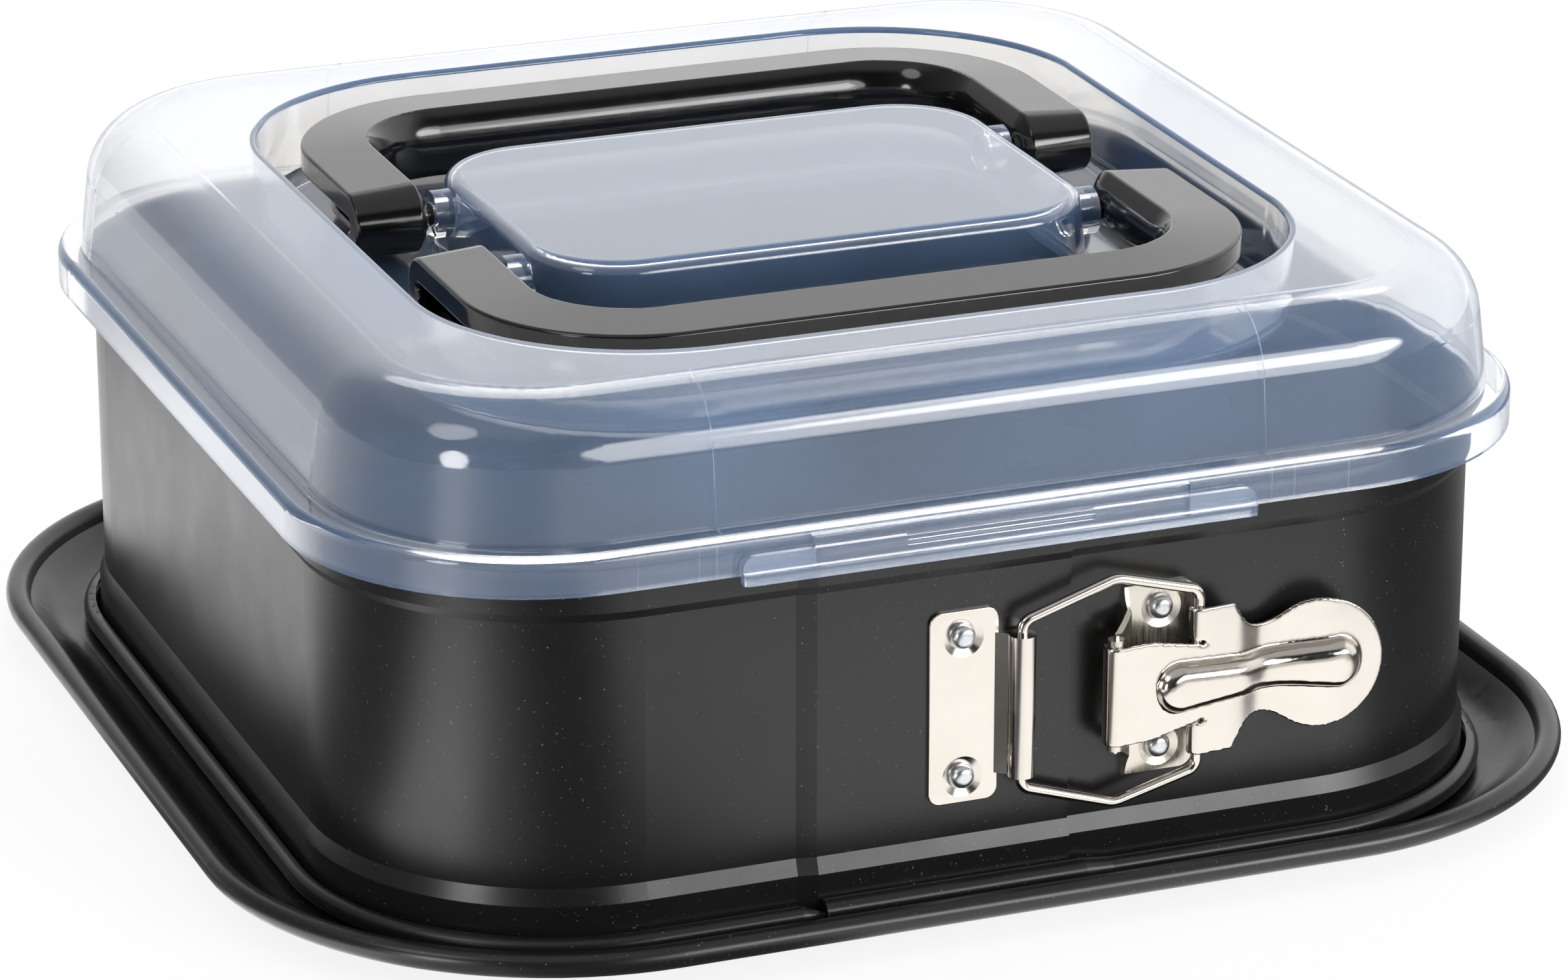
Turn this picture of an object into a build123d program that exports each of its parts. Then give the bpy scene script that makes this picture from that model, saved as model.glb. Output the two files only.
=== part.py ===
"""Square springform pan with a serving base, a clip-on storage cover and two folding handles.

Frame: origin in the middle of the base's underside, +Z up, the closing latch on the -Y side.
"""
from build123d import *
from math import cos, radians, sin, tan
import os

# Steel pan
SHEET = 0.7              # thickness of the steel sheet
SEAT_GAP = 0.3           # clearance between pieces that rest on each other
LAYER_GAP = 0.1          # clearance between the two ends of the band where they overlap
LEVEL_TOLERANCE = 0.05   # how near to a height an edge counts as lying at it

# Ring band
BAND_HALF = 121.5        # half width over the plain wall
BAND_CORNER = 51.0       # radius of its corners
BAND_TOP = 82.5
UPPER_CREASE = BAND_TOP - 14.0        # the wall steps out above this height
UPPER_STEP_TOP = UPPER_CREASE + 1.8
UPPER_STEP = 0.9
LOWER_CREASE = 14.3                   # and below this one
LOWER_STEP_FOOT = 11.0
LOWER_STEP = 1.2
TOP_ROLL = 0.8                        # inner radius of the rolled top edge
TOP_STRIP_FOOT = BAND_TOP - 4.0       # height below which the wall is the same at both ends
HOOK_ROLL = 1.5                       # inner radius of the rolled bottom edge
HOOK_HEIGHT = SHEET + SEAT_GAP + SHEET + HOOK_ROLL
LAP_ROLL = 1.9                        # the same at the end that takes in the other one
LAP_HEIGHT = SHEET + SEAT_GAP + SHEET + LAP_ROLL
HOOK_TURN = 280                       # degrees of curl
NESTED_TURN = 200
LAP_INNER_END = -35.5                 # X of the inner layer's end
LAP_OUTER_END = 16.5                  # X of the outer layer's end, the seam on the front
LAP_ROLL_FULL = LAP_OUTER_END + 2.5
LAP_ROLL_START = LAP_ROLL_FULL + 6.0  # where the large roll grows out of the plain one
JOGGLE_END = LAP_INNER_END - 0.5
JOGGLE_START = JOGGLE_END - 4.0       # where the outer layer steps out over the inner one

# Base plate, a rounded square about the same corner centres as the band
CORNER_CENTRE = BAND_HALF - BAND_CORNER
CAKE_FLOOR_HALF = BAND_HALF + LOWER_STEP - SHEET - SEAT_GAP
CAKE_FLOOR_TOP = 9.3                  # top of the raised cake floor
FLOOR_HALF = CAKE_FLOOR_HALF + 6.3    # where the flat floor ends and the flange starts to climb
FLANGE_HALF = FLOOR_HALF + 9.7        # where the flange meets the roll
FLANGE_HEIGHT = 5.5
FLANGE_FOOT_EASE = 5.0                # how far the climb's hollow foot reaches out
FLANGE_TOP_EASE = 3.0                 # and how far its top keeps its slope
FLANGE_SLOPE = 0.55
RIM_ROLL = 2.5                        # outer radius of the rolled rim
RIM_HALF = FLANGE_HALF + 2.8 + RIM_ROLL
RIM_HEIGHT = 7.2                      # height of the middle of the roll
RIM_CREASE = 170                      # direction from there to the crease inside the roll
RIM_ROLL_START = 205                  # and to where the roll leaves the flange
RIM_ROLL_TURN = -270

# Latch, of nickel-plated sheet and wire
LATCH_SHEET = 0.8
LATCH_HEIGHT = BAND_TOP / 2           # height of the latch's centre line
PLATE_LEFT = -13.2
PLATE_WIDE = 14.4
PLATE_TALL = 39.8
PLATE_CORNER = 2.5
PLATE_RIVET_X = PLATE_LEFT + 7.1
RIVET_PITCH = 29.0
RIVET_HEAD_R = 2.5
RIVET_HEAD_TALL = 1.9
RIVET_HEAD_SIDE = 0.15                # what the crown's rounding leaves of the head's side
RIVET_SHANK_R = 1.4
RIVET_TAIL_R = 2.6
RIVET_TAIL_TALL = 0.6
DIMPLE_R = 4.2
DIMPLE_FOOT = RIVET_HEAD_R + LAYER_GAP  # radius of a dimple's flat foot
DIMPLE_DEPTH = 0.5
WIRE_R = 1.1
BARREL_X = PLATE_LEFT + PLATE_WIDE + 3.7   # hinge of the wire bail
BARREL_Y = -BAND_HALF - 4.5
BARREL_R = 2.7
BARREL_TALL = 29.2
BARREL_BACK = 97                      # direction from the barrel's middle to its web's back
BARREL_FACE = 156                     # and to its face
PIVOT_X = BARREL_X + 18.9             # hinge of the lever on its bracket
PIVOT_Y = -BAND_HALF - 6.3
PIVOT_BAR_R = 1.6
RUNNING_FIT = 0.1                     # radial clearance of a pin in its bore
ROD_X = PIVOT_X + 18.3                # the bail's far rod, held in the lever's hooks
HOOK_CLEARANCE = 0.3
BAIL_SIDE_HALF = BARREL_TALL / 2 + 2.6     # half height of the bail at its rod in the barrel
BAIL_PEAK_HALF = BAIL_SIDE_HALF + 6.3      # at its two peaks
BAIL_END_HALF = BAIL_SIDE_HALF + 1.5       # and at its far rod
BAIL_PEAK = 19.5                      # distance of the peaks from the barrel
BAIL_CORNER = 2.5                     # bend of the wire beside its straight rods
BAIL_BEND = 5.0                       # bend at its peaks
BRACKET_LEFT = PIVOT_X + 4.0
BRACKET_WIDE = 15.2
BRACKET_TALL = 39.2
BRACKET_CORNER = 3.0
BRACKET_RIVET_X = BRACKET_LEFT + 7.9
BAR_POST = 1.6                        # width of the bracket beside each end of the pivot bar
POST_TIP = 0.4                        # how thin its sheet gets over the bar
POST_BEND = 3.0                       # how far the post's curved side stands off the plate
WINDOW_FOOT = 0.9                     # from the plate to the window between the posts
TONGUE_CLEARANCE = 0.5                # on each side of the lever's tongue
TONGUE_HALF = 10.2
TONGUE_TAPER = 7.1                    # the tongue narrows from here, measured from the pivot
TONGUE_TIP = 21.2                     # to the root of the slits
TONGUE_TIP_HALF = 7.3
EAR_LEFT = ROD_X - 0.1                # the ears beside the tongue carry the hooks
EAR_RIGHT = ROD_X + 6.7
EAR_FOOT = TONGUE_TIP_HALF + 1.4
EAR_HALF = BARREL_TALL / 2 + 0.7
EAR_EASE = 2.4                        # reach of the curve from an ear to the waist
WAIST_X = ROD_X + 13.6
WAIST_HALF = 9.3
WAIST_EASE = 5.0
TAB_X = WAIST_X + 12.0
TAB_HALF = 13.5
TAB_EASE = 6.0
TAB_TIP_X = TAB_X + TAB_HALF
LEVER_FLAT_END = WAIST_X - 7.0
FLAT_DIP = 2.7                        # how far the flat's end lies nearer to the wall than its start
WAIST_DIP = 4.9                       # the same for the waist
TAB_DIP = 3.1                         # for the tab's middle
TIP_DIP = 2.3                         # and for its tip
TIP_SLOPE = 0.03                      # slope of the tab at its tip
CURL_FROM = 20                        # degrees round the bar left open for folding
RIB_START_X = PIVOT_X + 8.0
RIB_END_X = TAB_X + 8.5
RIB_HALF = 5.0
RIB_PINCH = 1.5                       # pull of the waist on the rib's sides
RIB_TALL = 3.3
RIB_EDGE = 0.3                        # what the rib's rounding leaves of its side

# Cover, one skin of even thickness
SKIN = 1.5
SKIRT_GAP = 1.1                       # between the skirt and the band's top roll
SKIRT_HALF = BAND_HALF + UPPER_STEP + 2 * TOP_ROLL + SHEET + SKIRT_GAP + SKIN
SKIRT_CORNER = 49.8
SKIRT_FOOT = BAND_TOP - 6.2
LEDGE_TOP = BAND_TOP + SEAT_GAP + SKIN
LEDGE_ROUND = 2.0
DOME_HALF = SKIRT_HALF - 4.9
DOME_TALL = 27.1
DOME_TOP = LEDGE_TOP + DOME_TALL
DOME_DRAFT = 7
SHOULDER = 14.0
TOP_BAND_X = 31.4                     # from the dome's foot to the channel, at the sides
TOP_BAND_Y = 26.4                     # and at the front and rear
CHANNEL_HALF_X = DOME_HALF - TOP_BAND_X
CHANNEL_HALF_Y = DOME_HALF - TOP_BAND_Y
CHANNEL_CORNER = 46.0
CHANNEL_DEEP = 17.4
CHANNEL_FLOOR = DOME_TOP - CHANNEL_DEEP
CHANNEL_DRAFT = 5
CHANNEL_LIP = 1.0                     # rounding of the channel's upper edge
FLOOR_FILLET = 3.0
CHANNEL_WIDE_X = 31.2                 # width of the channel's floor beside the plateau
CHANNEL_WIDE_Y = 53.2                 # and in front of it and behind
PLATEAU_HALF_X = CHANNEL_HALF_X - CHANNEL_WIDE_X
PLATEAU_HALF_Y = CHANNEL_HALF_Y - CHANNEL_WIDE_Y
PLATEAU_CORNER = 20.0
PLATEAU_TOP = DOME_TOP - 0.8
PLATEAU_ROUND = 3.0

# Handles
HANDLE_TOP = DOME_TOP - 0.2           # height of the flat's inner edge
HANDLE_WIDE = 14.0                    # width of the flat
HANDLE_FALL = 1.0                     # how much lower its outer edge lies
HANDLE_DEEP = 15.2
HANDLE_BULGE = 3.0
HANDLE_WALL = 1.8
HANDLE_RIM = 5.2
HANDLE_FOOT = 8.0                     # width of the flange along the bottom
HANDLE_EDGE = 0.8
HANDLE_CORNER = 21.0                  # radius of the flat's inner edge at the corners
LEG_GAP = 8.2                         # between the plateau and a handle's legs
BAR_GAP = 27.7                        # and its cross bar
LEG_INNER = PLATEAU_HALF_X + LEG_GAP
BAR_INNER = PLATEAU_HALF_Y + BAR_GAP
HINGE_Y = PLATEAU_HALF_Y - PLATEAU_CORNER + 0.2
PIN_R = 2.5
PIN_END = PLATEAU_HALF_X - SKIN - LAYER_GAP
LUG_R = 5.0
LUG_GAP = 0.9                         # between a lug and the handle's nose
LUG_END = LEG_INNER - HANDLE_BULGE - LUG_GAP

# Clips moulded on the cover's front and rear
TONGUE_X = 38.5
TONGUE_THICK = 1.3
SLIT = 0.4
CLIP_HINGE_Z = LEDGE_TOP - LEDGE_ROUND
STRIP_LEFT = -53.5
STRIP_RIGHT = 52.5
STRIP_FOOT = SKIRT_FOOT - 1.3
STRIP_STEP = STRIP_FOOT + 2.4
STRIP_TOP = STRIP_STEP + 3.1
STRIP_THIN = 1.6
STRIP_THICK = 2.7
STRIP_CORNER = 2.4
NIB_DEEP = 0.6
NIB_HEIGHT = SKIRT_FOOT + 2.0

os.makedirs("parts", exist_ok=True)


def section_plane(x):
    """Plane across the front wall at X = x: sketch X is the distance from the middle, sketch Y is Z."""
    return Plane(origin=(x, 0, 0), x_dir=(0, -1, 0), z_dir=(-1, 0, 0))


def loop_path(start_x, end_x, half):
    """Rounded square in the floor plane, from the front at start_x round by +X to the front at end_x."""
    FilletPolyline(
        (start_x, -half), (half, -half), (half, half), (-half, half), (-half, -half), (end_x, -half),
        radius=half - CORNER_CENTRE,
    )


def half_loop_path(half):
    """Right half of a rounded square, from the middle of the front to the middle of the rear."""
    FilletPolyline((0, -half), (half, -half), (half, half), (0, half), radius=half - CORNER_CENTRE)


def polar(centre, radius, angle):
    return (centre[0] + radius * cos(radians(angle)), centre[1] + radius * sin(radians(angle)))


def wall_and_hook(shift, roll, roll_height, turn, top=TOP_STRIP_FOOT):
    """Band wall with its two creases and the edge curled out and up at its foot, as one face."""
    upper = BAND_HALF + UPPER_STEP + shift
    plain = BAND_HALF + shift
    lower = BAND_HALF + LOWER_STEP + shift
    centre = (lower + roll, roll_height)
    outer_line = [
        (upper, top), (upper, UPPER_STEP_TOP), (plain, UPPER_CREASE), (plain, LOWER_CREASE),
        (lower, LOWER_STEP_FOOT), (lower, roll_height),
    ]
    inner_line = [(h - SHEET, z) for h, z in reversed(outer_line)]
    with BuildLine() as outline:
        Polyline(*outer_line)
        CenterArc(centre, roll, 180, turn)
        Line(polar(centre, roll, 180 + turn), polar(centre, roll + SHEET, 180 + turn))
        CenterArc(centre, roll + SHEET, 180 + turn, -turn)
        Polyline(*inner_line)
        Line(inner_line[-1], outer_line[0])
    make_face(outline.edges())


def top_strip():
    """The band's top edge, curled out and down."""
    upper = BAND_HALF + UPPER_STEP
    centre = (upper + TOP_ROLL, BAND_TOP - TOP_ROLL - SHEET)
    turn = -250
    with BuildLine() as outline:
        Line((upper, TOP_STRIP_FOOT), (upper, centre[1]))
        CenterArc(centre, TOP_ROLL, 180, turn)
        Line(polar(centre, TOP_ROLL, 180 + turn), polar(centre, TOP_ROLL + SHEET, 180 + turn))
        CenterArc(centre, TOP_ROLL + SHEET, 180 + turn, -turn)
        Line((upper - SHEET, centre[1]), (upper - SHEET, TOP_STRIP_FOOT))
        Line((upper - SHEET, TOP_STRIP_FOOT), (upper, TOP_STRIP_FOOT))
    make_face(outline.edges())


def rivet_places(x, y):
    """The two rivets of a latch plate, as planes facing out of the front wall."""
    for side in (-1, 1):
        yield Plane(
            origin=(x, y, LATCH_HEIGHT + side * RIVET_PITCH / 2), x_dir=(1, 0, 0), z_dir=(0, -1, 0)
        )


def rounded_block(half_x, half_y, corner, low, high, taper=0, mode=Mode.ADD):
    """Upright block on a rounded rectangle that narrows by taper degrees away from its low side."""
    with BuildSketch(Plane.XY.offset(low)) as foot:
        RectangleRounded(2 * half_x, 2 * half_y, corner)
    extrude(foot.sketch, amount=high - low, taper=taper, mode=mode)


# Base plate: serving rim, flat floor, and the raised cake floor in one sheet
rim_centre = (RIM_HALF - RIM_ROLL, RIM_HEIGHT)
rim_inner = RIM_ROLL - SHEET
rim_end = RIM_ROLL_START + RIM_ROLL_TURN
riser_half = CAKE_FLOOR_HALF - SHEET


def flange_curve(out, up):
    """The flange's climb from the floor to the roll, hollow at its foot, shifted by out and up."""
    top = FLANGE_HEIGHT + up
    Bezier(
        (FLOOR_HALF + out, up), (FLOOR_HALF + FLANGE_FOOT_EASE + out, up),
        (FLANGE_HALF - FLANGE_TOP_EASE + out, top - FLANGE_TOP_EASE * FLANGE_SLOPE), (FLANGE_HALF + out, top),
    )


with BuildPart() as base_plate:
    with BuildLine() as base_path:
        half_loop_path(FLOOR_HALF)
    with BuildSketch(section_plane(0)):
        with BuildLine():
            Polyline((FLOOR_HALF, 0), (riser_half, 0), (riser_half, CAKE_FLOOR_TOP),
                     (CAKE_FLOOR_HALF, CAKE_FLOOR_TOP), (CAKE_FLOOR_HALF, SHEET), (FLOOR_HALF, SHEET))
            flange_curve(0, SHEET)
            Polyline((FLANGE_HALF, FLANGE_HEIGHT + SHEET), polar(rim_centre, RIM_ROLL, RIM_CREASE),
                     polar(rim_centre, rim_inner, RIM_CREASE), polar(rim_centre, rim_inner, RIM_ROLL_START),
                     (FLANGE_HALF + SHEET / 2, FLANGE_HEIGHT))
            flange_curve(SHEET / 2, 0)
            Line((FLOOR_HALF + SHEET / 2, 0), (FLOOR_HALF, 0))
        make_face()
        with BuildLine():
            CenterArc(rim_centre, RIM_ROLL, RIM_ROLL_START, RIM_ROLL_TURN)
            Line(polar(rim_centre, RIM_ROLL, rim_end), polar(rim_centre, rim_inner, rim_end))
            CenterArc(rim_centre, rim_inner, rim_end, -RIM_ROLL_TURN)
            Line(polar(rim_centre, rim_inner, RIM_ROLL_START), polar(rim_centre, RIM_ROLL, RIM_ROLL_START))
        make_face()
    sweep(path=base_path.wire())
    mirror(about=Plane.YZ)
    rounded_block(
        riser_half + SHEET / 2, riser_half + SHEET / 2, riser_half + SHEET / 2 - CORNER_CENTRE,
        CAKE_FLOOR_TOP - SHEET, CAKE_FLOOR_TOP,
    )
base_plate.part.label = "base_plate"
export_step(base_plate.part, "parts/base_plate.step")

# Ring band: one strip, its left end lapped over its right end on the front
with BuildPart() as ring_band:
    with BuildLine() as band_path:
        loop_path(LAP_ROLL_START, JOGGLE_START, BAND_HALF)
    with BuildSketch(section_plane(LAP_ROLL_START)):
        wall_and_hook(0, HOOK_ROLL, HOOK_HEIGHT, HOOK_TURN)
        top_strip()
    sweep(path=band_path.wire())

    # Inner layer, whose larger roll takes in the outer layer's
    with BuildSketch(section_plane(LAP_ROLL_START)):
        wall_and_hook(0, HOOK_ROLL, HOOK_HEIGHT, HOOK_TURN)
    with BuildSketch(section_plane(LAP_ROLL_FULL)):
        wall_and_hook(0, LAP_ROLL, LAP_HEIGHT, HOOK_TURN)
    loft()
    with BuildSketch(section_plane(LAP_ROLL_FULL)):
        wall_and_hook(0, LAP_ROLL, LAP_HEIGHT, HOOK_TURN)
    extrude(amount=LAP_ROLL_FULL - LAP_INNER_END)
    with BuildSketch(section_plane(LAP_ROLL_START)):
        top_strip()
    extrude(amount=LAP_ROLL_START - LAP_INNER_END)

    # Outer layer, stepped out by one sheet and ending at the seam
    nested_roll = LAP_ROLL - SHEET - LAYER_GAP
    with BuildSketch(section_plane(JOGGLE_START)):
        wall_and_hook(0, HOOK_ROLL, HOOK_HEIGHT, HOOK_TURN)
    with BuildSketch(section_plane(JOGGLE_END)):
        wall_and_hook(SHEET + LAYER_GAP, nested_roll, LAP_HEIGHT, NESTED_TURN)
    loft()
    with BuildSketch(section_plane(LAP_OUTER_END)):
        wall_and_hook(SHEET + LAYER_GAP, nested_roll, LAP_HEIGHT, NESTED_TURN)
    extrude(amount=LAP_OUTER_END - JOGGLE_END)
    with BuildSketch(section_plane(LAP_INNER_END - 2 * LAYER_GAP)):
        top_strip()
    extrude(amount=LAP_INNER_END - 2 * LAYER_GAP - JOGGLE_START)

    # Rivet holes, through the outer layer alone at the hinge plate
    lap_face = -(BAND_HALF + SHEET + LAYER_GAP)
    for place in rivet_places(PLATE_RIVET_X, lap_face - SHEET):
        with BuildSketch(place) as hole:
            Circle(RIVET_SHANK_R)
        extrude(hole.sketch, amount=-2 * SHEET - LAYER_GAP / 2, mode=Mode.SUBTRACT)
    for place in rivet_places(BRACKET_RIVET_X, -BAND_HALF - SHEET):
        with BuildSketch(place) as hole:
            Circle(RIVET_SHANK_R)
        extrude(hole.sketch, amount=-3 * SHEET, mode=Mode.SUBTRACT)
ring_band.part.label = "ring_band"
export_step(ring_band.part, "parts/ring_band.step")


def latch_plane(y):
    """Upright plane facing out of the front: sketch X is X, sketch Y the height over the latch's middle."""
    return Plane(origin=(0, y, LATCH_HEIGHT), x_dir=(1, 0, 0), z_dir=(0, -1, 0))


def rivet_seats(x, face):
    """Conical dimples and rivet holes in a latch plate whose outer face is at Y = face."""
    for place in rivet_places(x, face):
        with Locations(place):
            Cone(DIMPLE_FOOT, DIMPLE_R, DIMPLE_DEPTH,
                 align=(Align.CENTER, Align.CENTER, Align.MAX), mode=Mode.SUBTRACT)
            Cylinder(RIVET_SHANK_R, LATCH_SHEET * 3, mode=Mode.SUBTRACT)


def rivet(place, shank_long, tail_tall):
    """Domed rivet seated at the foot of a dimple, with a flat tail where the inside can be reached."""
    down = (Align.CENTER, Align.CENTER, Align.MAX)
    up = (Align.CENTER, Align.CENTER, Align.MIN)
    with BuildPart() as body:
        with Locations(place):
            Cylinder(RIVET_HEAD_R, RIVET_HEAD_TALL, align=up)
        crown = body.edges().sort_by(Axis.Y)[0]
        fillet(crown, RIVET_HEAD_TALL - RIVET_HEAD_SIDE)
        with Locations(place):
            Cylinder(RIVET_SHANK_R - LAYER_GAP / 2, shank_long, align=down)
        if tail_tall:
            with Locations(place.offset(-shank_long)):
                Cylinder(RIVET_TAIL_R, tail_tall, align=down)
    return body.part


# Hinge plate, riveted to the outer layer, its right edge rolled into the bail's barrel
plate_back = lap_face
plate_face = plate_back - LATCH_SHEET
plate_right = PLATE_LEFT + PLATE_WIDE
barrel_foot = LATCH_HEIGHT - BARREL_TALL / 2
barrel = (BARREL_X, BARREL_Y)

with BuildPart() as hinge_plate:
    with BuildSketch(latch_plane(plate_back)):
        with Locations((PLATE_LEFT + PLATE_WIDE / 2, 0)):
            RectangleRounded(PLATE_WIDE, PLATE_TALL, PLATE_CORNER)
    extrude(amount=LATCH_SHEET)
    fillet(hinge_plate.faces().sort_by(Axis.Y)[0].edges(), LATCH_SHEET / 4)
    with BuildSketch(Plane.XY.offset(barrel_foot)):
        with BuildLine():
            Polyline(
                (plate_right - LATCH_SHEET, plate_back), (plate_right + LATCH_SHEET, plate_back),
                polar(barrel, BARREL_R - LAYER_GAP, BARREL_BACK),
                polar(barrel, BARREL_R - LAYER_GAP, BARREL_FACE),
                (plate_right - LATCH_SHEET, plate_face), close=True,
            )
        make_face()
        with Locations(barrel):
            Circle(BARREL_R)
            Circle(WIRE_R + RUNNING_FIT, mode=Mode.SUBTRACT)
    extrude(amount=BARREL_TALL)
    rivet_seats(PLATE_RIVET_X, plate_face)
hinge_plate.part.label = "hinge_plate"
export_step(hinge_plate.part, "parts/hinge_plate.step")

seat_face = plate_face + DIMPLE_DEPTH
layer_back = lap_face + SHEET
hinge_rivets = [
    rivet(place, layer_back - seat_face, 0) for place in rivet_places(PLATE_RIVET_X, seat_face)
]
hinge_plate_rivets = Compound(label="hinge_plate_rivets", children=hinge_rivets)
export_step(hinge_plate_rivets, "parts/hinge_plate_rivets.step")

# Wire bail: a six-sided loop of round wire, one side in the barrel and one in the lever's hooks
lever_back = PIVOT_Y - PIVOT_BAR_R - RUNNING_FIT
flat_slope = FLAT_DIP / (LEVER_FLAT_END - PIVOT_X)
hook_back = lever_back + flat_slope * (ROD_X - PIVOT_X)
rod_y = hook_back + WIRE_R + HOOK_CLEARANCE
bail_plane = Plane(
    origin=(BARREL_X, BARREL_Y, LATCH_HEIGHT), x_dir=(ROD_X - BARREL_X, rod_y - BARREL_Y, 0),
    z_dir=(rod_y - BARREL_Y, BARREL_X - ROD_X, 0),
)
bail_wide = ((ROD_X - BARREL_X) ** 2 + (rod_y - BARREL_Y) ** 2) ** 0.5

with BuildPart() as wire_bail:
    with BuildLine(bail_plane) as bail_path:
        FilletPolyline(
            (0, 0), (0, BAIL_SIDE_HALF), (BAIL_PEAK, BAIL_PEAK_HALF), (bail_wide, BAIL_END_HALF),
            (bail_wide, 0), radius=(BAIL_CORNER, BAIL_BEND, BAIL_CORNER),
        )
    with BuildSketch(Plane.XY.offset(LATCH_HEIGHT)):
        with Locations(barrel):
            Circle(WIRE_R)
    sweep(path=bail_path.wire())
    mirror(about=Plane.XY.offset(LATCH_HEIGHT))
wire_bail.part.label = "wire_bail"
export_step(wire_bail.part, "parts/wire_bail.step")

# Lever bracket: riveted plate whose left edge stands up in two ears that carry the pivot bar
bracket_face = -BAND_HALF - LATCH_SHEET
window_half = TONGUE_HALF + TONGUE_CLEARANCE
post_half = window_half + BAR_POST
ear_foot = LATCH_HEIGHT - BRACKET_TALL / 2

with BuildPart() as lever_bracket:
    with BuildSketch(Plane.XY.offset(ear_foot)):
        with BuildLine():
            Polyline(
                (BRACKET_LEFT, -BAND_HALF), (BRACKET_LEFT, bracket_face - 2 * LATCH_SHEET),
                (PIVOT_X - POST_TIP / 2, PIVOT_Y + POST_TIP), (PIVOT_X - POST_TIP / 2, PIVOT_Y - POST_TIP),
                (PIVOT_X + POST_TIP, PIVOT_Y - POST_TIP),
                (BRACKET_LEFT + LATCH_SHEET, bracket_face - 2 * LATCH_SHEET - POST_TIP),
                (BRACKET_LEFT + LATCH_SHEET, -BAND_HALF), close=True,
            )
        make_face()
    extrude(amount=BRACKET_TALL)
    with BuildSketch(Plane.YZ.offset(PIVOT_X - 2 * PIVOT_BAR_R)):
        for side in (-1, 1):
            with BuildLine():
                foot_corner = (bracket_face, LATCH_HEIGHT + side * BRACKET_TALL / 2)
                bar_corner = (PIVOT_Y + POST_TIP, LATCH_HEIGHT + side * post_half)
                far_corner = (PIVOT_Y - 2 * PIVOT_BAR_R, LATCH_HEIGHT + side * post_half)
                outside = (PIVOT_Y - 2 * PIVOT_BAR_R, LATCH_HEIGHT + side * BRACKET_TALL)
                beyond = (bracket_face, LATCH_HEIGHT + side * BRACKET_TALL)
                bend = (bracket_face - POST_BEND, LATCH_HEIGHT + side * (post_half + BAR_POST))
                ThreePointArc(foot_corner, bend, bar_corner)
                Polyline(bar_corner, far_corner, outside, beyond, foot_corner)
            make_face()
        with Locations((PIVOT_Y, LATCH_HEIGHT)):
            Rectangle(2 * (bracket_face - WINDOW_FOOT - PIVOT_Y), 2 * window_half)
    extrude(amount=BRACKET_WIDE, mode=Mode.SUBTRACT)
    with BuildSketch(latch_plane(-BAND_HALF)):
        with Locations((BRACKET_LEFT + BRACKET_WIDE / 2, 0)):
            Rectangle(BRACKET_WIDE, BRACKET_TALL)
    extrude(amount=LATCH_SHEET)
    corners = lever_bracket.edges().filter_by(Axis.Y).group_by(Axis.X)[-1]
    fillet(corners, BRACKET_CORNER)
    with Locations((PIVOT_X, PIVOT_Y, LATCH_HEIGHT)):
        Cylinder(PIVOT_BAR_R, window_half + post_half)
    rivet_seats(BRACKET_RIVET_X, bracket_face)
lever_bracket.part.label = "lever_bracket"
export_step(lever_bracket.part, "parts/lever_bracket.step")

bracket_seat = bracket_face + DIMPLE_DEPTH
bracket_shank = -BAND_HALF + SHEET - bracket_seat
tailed_rivets = [
    rivet(place, bracket_shank, RIVET_TAIL_TALL)
    for place in rivet_places(BRACKET_RIVET_X, bracket_seat)
]
bracket_rivets = Compound(label="bracket_rivets", children=tailed_rivets)
export_step(bracket_rivets, "parts/bracket_rivets.step")

# Latch lever: a stamped sheet with a raised rib, a curl round the pivot bar and two hooks for the bail
lever_face = lever_back - LATCH_SHEET


def lever_band(near, far):
    """Lever sheet seen from above, between the face shifted by near and the face shifted by far."""
    middle = [
        (PIVOT_X, 0), (LEVER_FLAT_END, FLAT_DIP), (WAIST_X, WAIST_DIP), (TAB_X, TAB_DIP),
        (TAB_TIP_X + LATCH_SHEET, TIP_DIP),
    ]
    sides = []
    for shift in (near, far):
        sides.append([(x, lever_face + dy + shift) for x, dy in middle])
    with BuildLine() as outline:
        for line in sides:
            Line(line[0], line[1])
            Spline(*line[1:], tangents=[(1, flat_slope), (1, -TIP_SLOPE)])
        Line(sides[0][0], sides[1][0])
        Line(sides[0][-1], sides[1][-1])
    make_face(outline.edges())


def rib_outline(inset):
    """Long shape with round ends, pinched a little at the waist, drawn on an upright plane."""
    half = RIB_HALF - inset
    start_x = RIB_START_X + RIB_HALF
    end_x = RIB_END_X - RIB_HALF
    pinched = (WAIST_X, half - RIB_PINCH)
    with BuildLine() as outline:
        Line((start_x - half, 0), (end_x + half, 0))
        CenterArc((end_x, 0), half, 0, 90)
        Bezier((end_x, half), pinched, pinched, (start_x, half))
        CenterArc((start_x, 0), half, 90, 90)
    make_face(outline.edges())
    mirror(about=Plane.XZ)


with BuildPart() as lever_rib:
    with BuildSketch(Plane.XY.offset(LATCH_HEIGHT - EAR_HALF)):
        lever_band(0, -RIB_TALL)
    extrude(amount=2 * EAR_HALF)
    with BuildSketch(latch_plane(-BAND_HALF)):
        rib_outline(0)
    extrude(amount=SKIRT_HALF - BAND_HALF + EAR_HALF, mode=Mode.INTERSECT)
    fillet(lever_rib.edges().group_by(Axis.Y)[0], RIB_TALL - RIB_EDGE)

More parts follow.
